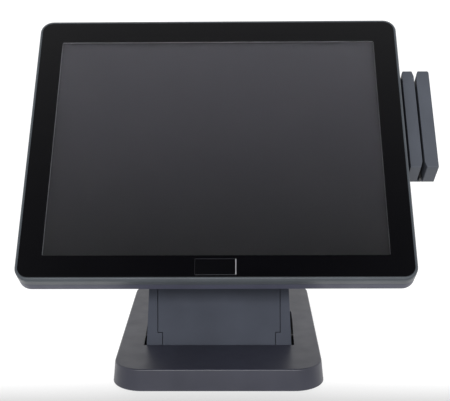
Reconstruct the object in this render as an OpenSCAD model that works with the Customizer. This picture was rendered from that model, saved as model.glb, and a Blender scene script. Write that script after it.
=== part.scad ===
// Countertop touchscreen terminal: display head, folding arm, weighted base and card reader.
// +X is to the right, +Y away from the user, +Z up; the origin is the base centre on the counter.

/* [Head] */
// Width of the display head
head_w = 352.6; // [351:0.2:356]
// Height of the display head along its face
head_h = 279; // [277:0.5:282]
// Corner radius of the head outline
head_corner_r = 12.5; // [11:0.5:16]
// Depth of the front frame
frame_depth = 11.5; // [10.5:0.1:11.6]
// Depth of the head at its edge
edge_depth = 22.5; // [22:0.5:24]
// Depth from the glass to the back of the electronics housing
housing_depth = 58; // [54:1:60]
// Width of the rim around the glass
rim_w = 2.5; // [2.2:0.1:2.8]
// Angle that the head leans back from upright
head_lean = 40.84; // [30:0.5:50]
// Height of the screen centre above the counter
screen_z = 230.95; // [226:0.05:240]

/* [Arm] */
// Angle that the arm leans back from upright
arm_lean = 14; // [12:1:16]
// Distance from the base top to the upper hinge, along the arm
arm_length = 178; // [172:1:184]
// Width of the arm at the base top
arm_w = 145; // [141:1:147]
// Width that the arm loses for each millimetre of its length
arm_taper = 0.088; // [0.06:0.002:0.1]
// Thickness of the arm
arm_depth = 26; // [24:1:28]
// Width of the front cover
cover_w = 122.2; // [120:0.2:124]

/* [Base] */
// Width of the base on the counter
base_w = 203.6; // [200:0.2:210]
// Depth of the base on the counter
base_d = 260; // [256:1:270]
// Height of the base
base_h = 21.9; // [20.4:0.5:22.9]
// Corner radius of the base seen from above
base_corner_r = 29.6; // [26:0.2:34]
// Narrowing of the base on each side from bottom to top
base_draft = 2.1; // [1.5:0.1:3]

/* [Card reader] */
// Length of the reader bars
reader_l = 108; // [100:1:114]
// Width of the inner bar
inner_bar_w = 11.2; // [11:0.1:12]
// Width of the outer bar
outer_bar_w = 12.8; // [12:0.1:14]
// Width of the card slot
slot_w = 2.2; // [1.8:0.1:2.4]
// Depth of the reader from front to back
reader_d = 29; // [28:0.5:31]

/* [Hidden] */
$fn = 64;
wall = 2.5;
gap = 0.3;
hair = 0.02;
run_fit = 0.05;
screw_r = 1.6;
screw_hole_r = 1.7;
small_screw_r = 1.28;
screw_head_r = 3;

// head layout: x across, y back from the glass face, z up the face from the screen centre
screen_y = -86.38;
head_mid = 1.4;
glass_t = 3;
glass_w = head_w - 2 * rim_w - 2 * hair;
glass_h = head_h - 2 * rim_w - 2 * hair;
glass_corner_r = head_corner_r - rim_w;
lcd_w = 326.5;
lcd_h = 253.5;
lcd_back = 11;
chassis_n0 = 11.7;
chassis_n1 = 12.9;
cover_n0 = frame_depth + 0.5;
housing_w = 250;
housing_h = 160;
housing_v = 6;
housing_corner_r = 14;
housing_inner_w = housing_w - 2 * wall;
port_x0 = -42;
port_x1 = 103;
port_n0 = 24;
port_n1 = 40;
board_n = 20;
board_t = 1.6;
board_x = 38;
board_w = 156;
board_h = 146;
badge_w = 37;
badge_h = 15.6;
badge_v = -126;

// hinge axes: across the object, through these points
foot_r = 9.5;
foot_a = -4.2;
base_front_arm_y = -65;
top_r = 11;
lower_y = base_front_arm_y + foot_a * sin(arm_lean) + foot_r * cos(arm_lean);
lower_z = base_h + foot_a * cos(arm_lean) - foot_r * sin(arm_lean);
upper_y = base_front_arm_y + arm_length * sin(arm_lean) + top_r * cos(arm_lean);
upper_z = base_h + arm_length * cos(arm_lean) - top_r * sin(arm_lean);
rel_y = upper_y - screen_y;
rel_z = upper_z - screen_z;
hinge_v = rel_y * sin(head_lean) + rel_z * cos(head_lean);
hinge_n = rel_y * cos(head_lean) - rel_z * sin(head_lean);
upper_shaft_r = 5;
lower_shaft_r = 4;
ear_x = 38;
ear_t = 4;
core_x = 43.9;
core_t = 4;
base_ear_x = 50;
base_ear_t = 4;

// base layout
pad_h = 0.8;
plate_top = 3.2;
screw_head_top = 2.2;
base_wall = 3;
pocket_y0 = -67;
pocket_y1 = 34;
pocket_x0 = 75;
pocket_x1 = 77;
pocket_corner_r = 6;

// reader layout, in the head's directions
reader_x = 180.4;
reader_n = 12;
reader_v = -20.6;
slot_x = reader_x + inner_bar_w;
outer_x = slot_x + slot_w;
reader_back = reader_n + reader_d;
reader_mid = reader_v + reader_l / 2;
lead_l = 6;
lead_w = 1.8;
head_window_h = 12.8;
head_window_n0 = 19;
head_window_n1 = 27;

// power button, on the left edge
button_v = -100;
button_n = 16.2;
button_r = 2.4;

// ---------- directions ----------

// head directions: y runs back from the glass, z runs up the face
module head_space()
    translate([0, screen_y, screen_z]) rotate([-head_lean, 0, 0]) children();

// arm directions: y runs back from the arm's front face, z runs up the arm from the base top
module arm_space()
    translate([0, base_front_arm_y, base_h]) rotate([-arm_lean, 0, 0]) children();

// stands a flat outline (x, up) in depth from n0 to n1
module through(n0, n1)
    translate([0, n1, 0]) rotate([90, 0, 0]) linear_extrude(n1 - n0) children();

// runs a side outline (depth, up) across from x0 to x1
module across(x0, x1)
    translate([x0, 0, 0]) rotate([90, 0, 90]) linear_extrude(x1 - x0) children();

// turns a slab that lies flat so that its top faces back
module facing_back(n0, v)
    translate([0, n0, v]) rotate([-90, 0, 0]) children();

module both_sides()
    for (side = [0, 1]) mirror([side, 0, 0]) children();

module pin(r, x0, x1)
    translate([x0, 0, 0]) rotate([0, 90, 0]) cylinder(r = r, h = x1 - x0);

// ---------- outlines ----------

module rounded(w, h, r) {
    square([w - 2 * r, h], center = true);
    square([w, h - 2 * r], center = true);
    for (x = [-1, 1], y = [-1, 1]) translate([x * (w / 2 - r), y * (h / 2 - r)]) circle(r);
}

// quarter round that leaves an edge at [inset, z] and meets the top r higher
function round_edge(inset, z, r) =
    [for (i = [0 : 4]) [inset + r * (1 - cos(22.5 * i)), z + r * sin(22.5 * i)]];

module bar_section(w, profile)
    polygon(concat([for (p = profile) [w / 2 - p[0], p[1]]],
        [for (i = [len(profile) - 1 : -1 : 0]) [profile[i][0] - w / 2, profile[i][1]]]));

// slab with rounded corners whose edge follows profile, a list of [inset, z] from bottom to top
module profiled_slab(w, h, r, profile) {
    low = profile[0][1];
    high = profile[len(profile) - 1][1];
    for (x = [-1, 1], y = [-1, 1])
        translate([x * (w / 2 - r), y * (h / 2 - r), 0])
            rotate_extrude() polygon(concat([[0, low]], [for (p = profile) [r - p[0], p[1]]], [[0, high]]));
    rotate([90, 0, 0]) linear_extrude(h - 2 * r, center = true) bar_section(w, profile);
    rotate([90, 0, 90]) linear_extrude(w - 2 * r, center = true) bar_section(h, profile);
}

// ---------- base ----------

module pocket_outline(grow) {
    rear_x = pocket_x1 + grow - pocket_corner_r;
    rear_y = pocket_y1 + grow - pocket_corner_r;
    polygon([[-pocket_x0 - grow, pocket_y0 - grow], [pocket_x0 + grow, pocket_y0 - grow],
        [pocket_x1 + grow, 0], [pocket_x1 + grow, rear_y], [rear_x, rear_y], [rear_x, pocket_y1 + grow],
        [-rear_x, pocket_y1 + grow], [-rear_x, rear_y], [-pocket_x1 - grow, rear_y],
        [-pocket_x1 - grow, 0]]);
    for (x = [-1, 1]) translate([x * rear_x, rear_y]) circle(pocket_corner_r);
}

module base_housing() {
    top_round = 1.6;
    color([0.27, 0.28, 0.31]) difference() {
        profiled_slab(base_w, base_d, base_corner_r,
            concat([[0, pad_h], [0.1, pad_h + 1]],
                round_edge(base_draft, base_h - top_round, top_round)));
        difference() {
            translate([0, 0, pad_h - 1])
                linear_extrude(base_h - wall - pad_h + 1)
                    rounded(base_w - 2 * base_draft - 2 * base_wall, base_d - 2 * base_draft - 2 * base_wall,
                        base_corner_r - base_draft - base_wall);
            // bosses that take the bottom screws
            at_base_screws() translate([0, 0, plate_top]) cylinder(r = 3.8, h = base_h);
        }
        at_base_screws() cylinder(r = screw_r + hair, h = 12);
        translate([0, 0, base_h - wall - 1]) linear_extrude(wall + 2) pocket_outline(0);
    }
}

plate_w = base_w - 2 * base_draft - 2 * base_wall - 2 * gap;
plate_d = base_d - 2 * base_draft - 2 * base_wall - 2 * gap;
plate_r = base_corner_r - base_draft - base_wall - gap;

module at_base_screws()
    for (x = [-1, 1], y = [-1, 1]) translate([x * 81, y * 104, 0]) children();

module base_plate() {
    color([0.5, 0.5, 0.52]) difference() {
        translate([0, 0, pad_h]) linear_extrude(plate_top - pad_h) rounded(plate_w, plate_d, plate_r);
        at_base_screws() {
            cylinder(r = screw_hole_r, h = 10);
            cylinder(r = screw_head_r + gap, h = screw_head_top);
        }
    }
}

module base_pad() {
    inset = 3;
    ring_w = 14;
    color([0.06, 0.06, 0.06]) linear_extrude(pad_h) difference() {
        rounded(base_w - 2 * inset, base_d - 2 * inset, base_corner_r - inset);
        rounded(base_w - 2 * inset - 2 * ring_w, base_d - 2 * inset - 2 * ring_w, base_corner_r - inset - ring_w);
    }
}

module ballast(y, d, w)
    translate([0, y, plate_top]) linear_extrude(11.5) rounded(w, d, 6);

module ballast_front() color([0.3, 0.3, 0.3]) ballast(-95, 44, 150);
module ballast_rear() color([0.3, 0.3, 0.3]) ballast(82, 72, 150);

module pocket_tray() {
    floor_z = 4;
    open_y = -34;
    color([0.09, 0.09, 0.1]) difference() {
        translate([0, 0, floor_z]) linear_extrude(base_h - wall - floor_z) intersection() {
            pocket_outline(2);
            translate([-100, open_y]) square([200, 100]);
        }
        translate([0, 0, floor_z + 1.5]) linear_extrude(base_h) intersection() {
            pocket_outline(0);
            translate([-100, open_y + 2]) square([200, 100]);
        }
        translate([-74, open_y - 1, floor_z + 1.5]) cube([148, 10, base_h]);
    }
}

module base_hinge_brackets() {
    ear_r = 6.5;
    color([0.45, 0.46, 0.48]) both_sides() difference() {
        union() {
            across(base_ear_x, base_ear_x + base_ear_t) {
                translate([lower_y, lower_z]) circle(ear_r);
                polygon([[lower_y - 8, plate_top], [lower_y + 12, plate_top], [lower_y + ear_r, lower_z],
                    [lower_y - ear_r, lower_z]]);
            }
            translate([34, lower_y - 8, plate_top]) cube([base_ear_x - 34 + 1, 26, 2]);
        }
        translate([0, lower_y, lower_z]) pin(lower_shaft_r + hair, 40, 60);
    }
}

module base_screws() {
    color([0.35, 0.35, 0.37]) at_base_screws() {
        translate([0, 0, pad_h + hair]) cylinder(r = screw_head_r, h = screw_head_top - pad_h - hair);
        translate([0, 0, screw_head_top - 1]) cylinder(r = screw_r, h = 6);
    }
}

// lower hinge: two stub shafts held by the base ears, running in the arm core
module lower_shafts() {
    color([0.62, 0.63, 0.65]) both_sides() translate([0, lower_y, lower_z]) {
        pin(lower_shaft_r, 38, base_ear_x + base_ear_t);
        pin(6.2, base_ear_x + base_ear_t, base_ear_x + base_ear_t + 1.8);
    }
}

module lower_washers() {
    color([0.7, 0.6, 0.35]) both_sides() translate([0, lower_y, lower_z]) difference() {
        pin(6.4, core_x + core_t + gap, base_ear_x);
        pin(lower_shaft_r + hair, 40, 60);
    }
}

module lower_nuts() {
    color([0.62, 0.63, 0.65]) both_sides() translate([0, lower_y, lower_z]) difference() {
        translate([core_x - gap - 4, 0, 0]) rotate([0, 90, 0]) cylinder(r = 6.6, h = 4, $fn = 6);
        pin(lower_shaft_r + hair, 30, 50);
    }
}

// ---------- arm ----------

// side outline of the arm, shrunk inwards by t
module arm_side(t) {
    translate([foot_r, foot_a]) circle(foot_r - t);
    translate([top_r, arm_length]) circle(top_r - t);
    polygon([[t, foot_a], [2 * foot_r - t, foot_a], [arm_depth - t, 24], [arm_depth - t, arm_length - 20],
        [2 * top_r - t, arm_length], [t, arm_length]]);
}

// keeps what lies within the tapered width of the arm, shrunk by t on each side
module arm_width(t) {
    low = -40;
    high = 240;
    through(-20, 60) polygon([[-(arm_w - arm_taper * low) / 2 + t, low], [(arm_w - arm_taper * low) / 2 - t, low],
        [(arm_w - arm_taper * high) / 2 - t, high], [-(arm_w - arm_taper * high) / 2 + t, high]]);
}

foot_h = 11.5;
foot_x = 56.4;
shell_top = 160;
cover_gap = 0.6;
core_back = 20.5;

module arm_frame() {
    color([0.25, 0.27, 0.3]) arm_space() difference() {
        intersection() {
            across(-90, 90) arm_side(0);
            arm_width(0);
        }
        // hollow inside, up to the top wall, and above it the open space for the hinge
        intersection() {
            across(-90, 90) arm_side(wall);
            arm_width(wall);
            translate([-90, -10, -30]) cube([180, 60, 30 + shell_top - wall]);
        }
        intersection() {
            arm_width(wall);
            translate([-90, -10, shell_top]) cube([180, 60, 60]);
        }
        // seat of the front cover, narrower between the feet
        translate([-cover_w / 2 - cover_gap, -1, foot_h])
            cube([cover_w + 2 * cover_gap, 1 + wall + 0.1, shell_top - foot_h + 1]);
        translate([-foot_x - cover_gap, -10, -30]) cube([2 * (foot_x + cover_gap), 60, 30 + 9]);
        translate([-foot_x - cover_gap, -10, 5]) cube([2 * (foot_x + cover_gap), 15, foot_h]);
        // seat of the rear cover
        translate([-56, arm_depth - wall - 0.1, 9]) cube([112, 10, 141]);
        translate([-56, foot_r, 0]) cube([112, 20, 24]);
        // slots in the top wall for the steel core
        both_sides() translate([core_x - gap, 1, shell_top - wall - 1]) cube([core_t + 2 * gap, core_back, 10]);
    }
}

module arm_front_cover() {
    color([0.24, 0.26, 0.29]) arm_space() {
        translate([-cover_w / 2, 0, foot_h + cover_gap]) cube([cover_w, wall, shell_top - foot_h - cover_gap]);
        translate([-foot_x, 0, foot_a]) cube([2 * foot_x, wall, foot_h + cover_gap - foot_a]);
        for (a = [50, 120]) through(wall, core_back - wall) translate([0, a]) circle(4);
    }
}

module arm_rear_cover() {
    color([0.24, 0.26, 0.29]) arm_space() difference() {
        translate([-55.7, arm_depth - wall, 24.3]) cube([111.4, wall, 125.4]);
        at_arm_screws() cylinder(r = screw_hole_r, h = 30, center = true);
    }
}

module at_arm_screws()
    for (x = [-30, 30], a = [36, 138]) translate([x, arm_depth, a]) rotate([90, 0, 0]) children();

module arm_screws() {
    color([0.5, 0.5, 0.52]) arm_space() at_arm_screws() {
        translate([0, 0, -1]) cylinder(r = screw_head_r, h = 1);
        cylinder(r = screw_r, h = arm_depth - core_back + wall);
    }
}

module arm_core() {
    web_a0 = 24;
    web_a1 = 150;
    color([0.45, 0.46, 0.48]) arm_space() difference() {
        union() {
            both_sides() across(core_x, core_x + core_t) {
                translate([foot_r, foot_a]) circle(6.8);
                translate([top_r, arm_length]) circle(9.5);
                polygon([[3, 6], [foot_r - 6.8, foot_a], [foot_r + 6.8, foot_a], [core_back, 30],
                    [core_back, arm_length], [top_r - 7, arm_length], [3, arm_length - 14]]);
            }
            translate([-core_x - 1, core_back - wall, web_a0]) cube([2 * core_x + 2, wall, web_a1 - web_a0]);
        }
        translate([0, foot_r, foot_a]) pin(lower_shaft_r + run_fit, -60, 60);
        translate([0, top_r, arm_length]) pin(upper_shaft_r + run_fit, -60, 60);
        at_arm_screws() cylinder(r = screw_r + hair, h = 40, center = true);
        through(10, 30) translate([0, 85]) rounded(40, 50, 6);
    }
}

// ---------- head: front ----------

module front_frame() {
    color([0.3, 0.31, 0.34]) head_space() difference() {
        facing_back(0, head_mid)
            profiled_slab(head_w, head_h, head_corner_r, [[1.2, 0], [0.4, 0.6], [0, 1.6], [0, frame_depth]]);
        translate([0, 0, head_mid])
            through(-1, glass_t) rounded(head_w - 2 * rim_w, head_h - 2 * rim_w, glass_corner_r);
        difference() {
            translate([0, 0, head_mid])
                through(glass_t + 2, 20) rounded(head_w - 2 * wall, head_h - 2 * wall, head_corner_r - wall);
            // bosses for the chassis screws
            at_chassis_tabs() cylinder(r = 3.6, h = 20);
        }
        through(0, 20) square([lcd_w + 1, lcd_h + 1], center = true);
        at_chassis_tabs() cylinder(r = small_screw_r + hair, h = 7);
    }
}

module touch_glass() {
    color([0.05, 0.05, 0.055]) head_space() translate([0, 0, head_mid])
        through(0, glass_t) rounded(glass_w, glass_h, glass_corner_r - hair);
}

module badge_plate() {
    color([0.1, 0.1, 0.12]) head_space() translate([0, 0, badge_v])
        through(-0.5, 0) rounded(badge_w, badge_h, 1);
}

module lcd_panel() {
    color([0.2, 0.2, 0.21]) head_space() through(glass_t, lcd_back) square([lcd_w, lcd_h], center = true);
}

tab_x = 168;
tab_v = 80;

module at_chassis_tabs()
    for (x = [-tab_x, tab_x], v = [-tab_v, tab_v]) translate([x, chassis_n1, v]) rotate([90, 0, 0]) children();

module lcd_chassis() {
    color([0.62, 0.63, 0.65]) head_space() difference() {
        through(chassis_n0, chassis_n1) {
            rounded(334, 262, 4);
            for (v = [-tab_v, tab_v]) translate([0, v]) rounded(2 * tab_x + 8, 16, 3);
        }
        through(0, 30) translate([-90, 90]) rounded(90, 30, 6);
        at_chassis_tabs() cylinder(r = screw_hole_r, h = 10, center = true);
    }
}

module chassis_screws() {
    color([0.5, 0.5, 0.52]) head_space() at_chassis_tabs() {
        translate([0, 0, -1.4]) cylinder(r = 2.8, h = 1.4);
        cylinder(r = small_screw_r, h = 6);
    }
}

// ---------- head: rear cover ----------

module cover_tray(t, n0)
    facing_back(0, head_mid)
        profiled_slab(head_w - 0.4 - 2 * t, head_h - 0.4 - 2 * t, head_corner_r - 0.2 - t,
            concat([[0, n0]], round_edge(0, edge_depth - 1.2 - t, 1.2)));

module housing_block(t)
    facing_back(0, housing_v)
        profiled_slab(housing_w - 2 * t, housing_h - 2 * t, housing_corner_r - t,
            concat([[0, edge_depth - 4], [0, edge_depth]], round_edge(4, housing_depth - 5 - t, 5)));

module vent_rows(count, pitch, w, h)
    for (i = [0 : count - 1]) translate([(i - (count - 1) / 2) * pitch, 0]) rounded(w, h, w / 2 - 0.01);

module rear_cover() {
    color([0.22, 0.23, 0.26]) head_space() difference() {
        union() {
            cover_tray(0, cover_n0);
            housing_block(0);
        }
        cover_tray(wall, cover_n0 - 1);
        housing_block(wall);
        // connector bay in the lower wall
        translate([port_x0, port_n0, housing_v - housing_h / 2 - 1])
            cube([port_x1 - port_x0, port_n1 - port_n0, wall + 5]);
        // cooling slots in the back wall and over the speakers
        through(housing_depth - wall - 1, housing_depth + 1)
            for (x = [-86, 86]) translate([x, 20]) vent_rows(9, 6, 2.4, 70);
        through(edge_depth - wall - 1, edge_depth + 1) both_sides() translate([140, -112]) vent_rows(8, 5, 2, 16);
        translate([0, button_n, button_v]) pin(button_r + 0.4, -180, -160);
        at_cover_screws() cylinder(r = screw_hole_r, h = 12, center = true);
        at_bracket_screws() cylinder(r = 2.1, h = 12, center = true);
        at_mount_screws() cylinder(r = small_screw_r + hair, h = 12, center = true);
    }
}

module at_cover_screws()
    for (x = [-150, 150], v = [-70, 118]) translate([x, edge_depth, v]) rotate([90, 0, 0]) children();

module cover_screws() {
    color([0.5, 0.5, 0.52]) head_space() at_cover_screws() {
        translate([0, 0, -1]) cylinder(r = screw_head_r, h = 1);
        cylinder(r = screw_r, h = edge_depth - chassis_n1 - gap);
    }
}

// ---------- head: electronics ----------

module at_board_corners()
    for (x = [board_x - board_w / 2 + 6, board_x + board_w / 2 - 6], v = [housing_v - 66, housing_v + 66])
        translate([x, chassis_n1, v]) rotate([-90, 0, 0]) children();

module board_standoffs() {
    color([0.75, 0.65, 0.4]) head_space() at_board_corners() cylinder(r = 3, h = board_n - chassis_n1);
}

module motherboard() {
    color([0.08, 0.3, 0.16]) head_space() difference() {
        translate([board_x, 0, housing_v]) through(board_n, board_n + board_t) square([board_w, board_h], center = true);
        at_board_corners() cylinder(r = screw_r, h = 20);
    }
}

module processor() {
    color([0.15, 0.15, 0.16]) head_space()
        translate([board_x, 0, 30]) through(board_n + board_t, board_n + board_t + 2.4) square(36, center = true);
}

module heatsink() {
    sink_n = board_n + board_t + 2.4;
    fin_count = 13;
    color([0.72, 0.73, 0.75]) head_space() translate([board_x, 0, 30]) {
        through(sink_n, sink_n + 3) square([80, 70], center = true);
        for (i = [0 : fin_count - 1])
            translate([(i - (fin_count - 1) / 2) * 6.4 - 0.6, sink_n + 3, -35]) cube([1.2, 16, 70]);
    }
}

module memory_module() {
    color([0.1, 0.32, 0.2]) head_space()
        translate([board_x, 0, -34]) through(board_n + board_t, board_n + board_t + 4) square([68, 30], center = true);
}

module storage_drive() {
    color([0.55, 0.56, 0.58]) head_space()
        translate([-80, 0, 4]) through(chassis_n1, chassis_n1 + 7) rounded(70, 100, 2);
}

module speaker(x) {
    color([0.12, 0.12, 0.12]) head_space()
        translate([x, 0, -112]) through(chassis_n1, edge_depth - wall - gap) rounded(46, 20, 4);
}

module speaker_left() speaker(-140);
module speaker_right() speaker(140);

// ports: offset along the board edge, width, height
ports = [[0, 31, 12.5], [35, 31, 12.5], [70, 16, 13.5], [90, 14.5, 14], [108, 14.5, 14], [127, 11, 11]];
port_face_v = housing_v - housing_h / 2 + wall + 3.2;

module io_panel() {
    lap = 3;
    color([0.62, 0.63, 0.65]) head_space() difference() {
        translate([port_x0 - lap, board_n + board_t + hair, port_face_v])
            cube([port_x1 - port_x0 + 2 * lap, port_n1 - board_n - board_t + 2, 1]);
        for (p = ports) translate([port_x0 + 6 + p[0] - hair, 0, port_face_v - 1])
            cube([p[1] + 2 * hair, port_n0 + p[2] + hair, 3]);
    }
}

module io_ports() {
    color([0.3, 0.32, 0.5]) head_space() for (p = ports)
        translate([port_x0 + 6 + p[0], board_n + board_t, port_face_v - wall]) difference() {
            translate([0, port_n0 - board_n - board_t, 0]) cube([p[1], p[2], 14]);
            translate([1.2, port_n0 - board_n - board_t + 1.2, -1]) cube([p[1] - 2.4, p[2] - 2.4, 9]);
        }
}

hood_v0 = -116;
hood_n1 = 46;
hood_w = 210;
hood_t = 2;
hood_slope_v = 16;
hood_slope_n = 8;

module io_cover() {
    top_v = housing_v - housing_h / 2 - gap;
    color([0.22, 0.23, 0.26]) head_space() difference() {
        across(-hood_w / 2, hood_w / 2) polygon([[edge_depth, hood_v0], [edge_depth, top_v], [hood_n1, top_v],
            [hood_n1, hood_v0 + hood_slope_v], [hood_n1 - hood_slope_n, hood_v0]]);
        across(-hood_w / 2 + hood_t, hood_w / 2 - hood_t) polygon([[edge_depth - 1, hood_v0 - 1],
            [edge_depth - 1, top_v + 1], [hood_n1 - hood_t, top_v + 1],
            [hood_n1 - hood_t, hood_v0 + hood_slope_v], [hood_n1 - hood_t - hood_slope_n, hood_v0],
            [hood_n1 - hood_t - hood_slope_n, hood_v0 - 1]]);
    }
}

// ---------- head: hinge ----------

module at_bracket_screws()
    for (x = [-50, 50], v = [-40, 40])
        translate([x, housing_depth + wall, hinge_v + v]) rotate([90, 0, 0]) children();

module head_bracket() {
    ear_r = 11;
    color([0.3, 0.31, 0.33]) head_space() difference() {
        union() {
            translate([0, 0, hinge_v]) through(housing_depth, housing_depth + wall) rounded(120, 100, 5);
            both_sides() across(ear_x, ear_x + ear_t) {
                translate([hinge_n, hinge_v]) circle(ear_r);
                polygon([[housing_depth + 1, hinge_v - 20], [hinge_n, hinge_v - ear_r],
                    [hinge_n, hinge_v + ear_r], [housing_depth + 1, hinge_v + 24]]);
            }
        }
        translate([0, hinge_n, hinge_v]) pin(upper_shaft_r + hair, -60, 60);
        at_bracket_screws() cylinder(r = 2.1, h = 12, center = true);
    }
}

module bracket_screws() {
    color([0.6, 0.6, 0.62]) head_space() at_bracket_screws() {
        translate([0, 0, -2.4]) cylinder(r = 3.8, h = 2.4);
        cylinder(r = 2, h = 9);
    }
}

module upper_shaft() {
    color([0.62, 0.63, 0.65]) head_space() translate([0, hinge_n, hinge_v]) pin(upper_shaft_r, -57, 57);
}

module upper_washers() {
    color([0.7, 0.6, 0.35]) head_space() translate([0, hinge_n, hinge_v]) both_sides() difference() {
        union() {
            pin(9, ear_x + ear_t, core_x - gap);
            pin(9, core_x + core_t + gap, core_x + core_t + gap + 1.6);
        }
        pin(upper_shaft_r + hair, 30, 60);
    }
}

module upper_nuts() {
    nut_x = core_x + core_t + gap + 1.6;
    color([0.62, 0.63, 0.65]) head_space() translate([0, hinge_n, hinge_v]) both_sides() difference() {
        translate([nut_x, 0, 0]) rotate([0, 90, 0]) cylinder(r = 8.6, h = 5, $fn = 6);
        pin(upper_shaft_r + hair, 30, 60);
    }
}

module hinge_shroud() {
    half = ear_x - gap;
    color([0.2, 0.21, 0.24]) head_space() difference() {
        across(-half, half) {
            translate([hinge_n, hinge_v]) circle(top_r);
            polygon([[housing_depth + wall, hinge_v - 18], [hinge_n, hinge_v - top_r],
                [hinge_n, hinge_v + top_r], [housing_depth + wall, hinge_v + 18]]);
        }
        translate([0, hinge_n, hinge_v]) pin(upper_shaft_r + 0.5, -60, 60);
        across(3 - half, half - 3) translate([housing_depth, hinge_v - 10]) square([14, 20]);
    }
}

// ---------- power button ----------

module power_button() {
    color([0.15, 0.15, 0.16]) head_space() translate([0, button_n, button_v]) {
        pin(button_r, -head_w / 2 + 0.1, -head_w / 2 + 6.3);
        pin(button_r + 0.7, -head_w / 2 + 5, -head_w / 2 + 6);
    }
}

module button_switch() {
    color([0.1, 0.3, 0.2]) head_space() translate([-head_w / 2 + 7.8, chassis_n1, button_v - 8]) {
        cube([2, edge_depth - wall - chassis_n1 - gap, 16]);
    }
}

// ---------- card reader ----------

// side outline of a reader bar (depth, up), with softened corners
module bar_side()
    translate([reader_n + reader_d / 2, reader_mid]) rounded(reader_d, reader_l, 0.8);

// wedge cut from the slot face at both ends, so that a card finds its way in
module lead_in(x, side)
    for (end = [0, 1]) translate([x, 0, reader_mid]) mirror([0, 0, end])
        through(reader_n - 1, reader_back - 2)
            polygon([[0, reader_l / 2 - lead_l], [side * lead_w, reader_l / 2 + 0.01], [0, reader_l / 2 + 0.01]]);

// small bevel cut from the top corner away from the slot
module top_bevel(x, side)
    translate([x, 0, reader_v + reader_l]) through(reader_n - 1, reader_back + 1)
        polygon([[0, -1.8], [side, 0.01], [0, 0.01]]);

module reader_inner_bar() {
    color([0.25, 0.26, 0.29]) head_space() difference() {
        across(reader_x, slot_x) bar_side();
        lead_in(slot_x, -1);
        top_bevel(reader_x, 1);
        // hollow for the board, and the window of the read head
        translate([reader_x + 1.8, reader_n + 2.5, reader_v + 8])
            cube([inner_bar_w - 3.6, 20, reader_l - 16]);
        translate([slot_x - 3, head_window_n0, reader_mid - head_window_h / 2])
            cube([4, head_window_n1 - head_window_n0, head_window_h]);
        at_reader_screws() pin(small_screw_r + hair, -1, 6);
    }
}

module reader_outer_bar() {
    color([0.25, 0.26, 0.29]) head_space() difference() {
        across(outer_x, outer_x + outer_bar_w) bar_side();
        lead_in(outer_x, 1);
        top_bevel(outer_x + outer_bar_w, -1);
        translate([outer_x + 2, reader_n + 2.5, reader_v + 8]) cube([outer_bar_w - 4, 20, reader_l - 16]);
    }
}

module reader_spine() {
    spine_d = 7;
    color([0.12, 0.12, 0.13]) head_space() across(slot_x, outer_x) intersection() {
        bar_side();
        translate([reader_back - spine_d, reader_v]) square([spine_d, reader_l]);
    }
}

mount_x = 150;
mount_l = reader_l - 4;
mount_screw_v = 36;

module at_reader_screws()
    for (v = [-mount_screw_v, mount_screw_v]) translate([reader_x, 31, reader_mid + v]) children();

module at_mount_screws()
    for (v = [-mount_screw_v, mount_screw_v])
        translate([mount_x + 10, edge_depth + wall, reader_mid + v]) rotate([90, 0, 0]) children();

module reader_mount() {
    color([0.3, 0.31, 0.33]) head_space() difference() {
        union() {
            translate([mount_x, edge_depth, reader_mid - mount_l / 2]) cube([reader_x - mount_x, wall, mount_l]);
            translate([reader_x - wall, edge_depth, reader_mid - mount_l / 2]) cube([wall, 16, mount_l]);
        }
        at_reader_screws() pin(screw_hole_r, -5, 5);
        at_mount_screws() cylinder(r = screw_hole_r, h = 12, center = true);
    }
}

module reader_screws() {
    head_t = 1.8;
    color([0.6, 0.6, 0.62]) head_space() {
        at_reader_screws() {
            pin(screw_head_r, -wall - head_t, -wall);
            pin(small_screw_r, -wall, 1.7);
        }
        at_mount_screws() {
            translate([0, 0, -head_t]) cylinder(r = screw_head_r, h = head_t);
            cylinder(r = small_screw_r, h = 2 * wall);
        }
    }
}

module reader_board() {
    color([0.08, 0.3, 0.16]) head_space()
        translate([reader_x + 1.9, reader_n + 3.5, reader_v + 14]) cube([1.6, 17, reader_l - 28]);
}

module read_head() {
    fit = 0.35;
    color([0.75, 0.75, 0.77]) head_space() translate([0, 0, reader_mid]) {
        translate([slot_x - 5, head_window_n0 + fit, -head_window_h / 2 + fit])
            cube([5.5, head_window_n1 - head_window_n0 - 2 * fit, head_window_h - 2 * fit]);
        translate([slot_x - 3.8, head_window_n0 - 1.5, -head_window_h / 2 - 2])
            cube([1.8, head_window_n1 - head_window_n0 + 3, head_window_h + 4]);
    }
}

base_housing();
base_plate();
base_pad();
ballast_front();
ballast_rear();
pocket_tray();
base_hinge_brackets();
base_screws();
lower_shafts();
lower_washers();
lower_nuts();
arm_frame();
arm_front_cover();
arm_rear_cover();
arm_core();
arm_screws();
front_frame();
touch_glass();
badge_plate();
lcd_panel();
lcd_chassis();
rear_cover();
board_standoffs();
motherboard();
processor();
heatsink();
memory_module();
storage_drive();
chassis_screws();
speaker_left();
speaker_right();
io_panel();
io_ports();
io_cover();
cover_screws();
head_bracket();
bracket_screws();
upper_shaft();
upper_washers();
upper_nuts();
hinge_shroud();
power_button();
button_switch();
reader_mount();
reader_inner_bar();
reader_outer_bar();
reader_spine();
reader_board();
reader_screws();
read_head();
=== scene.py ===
"""Looks of a countertop touchscreen terminal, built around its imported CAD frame."""
import math

import bmesh
import bpy
import numpy as np
from mathutils import Matrix, Vector


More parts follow.
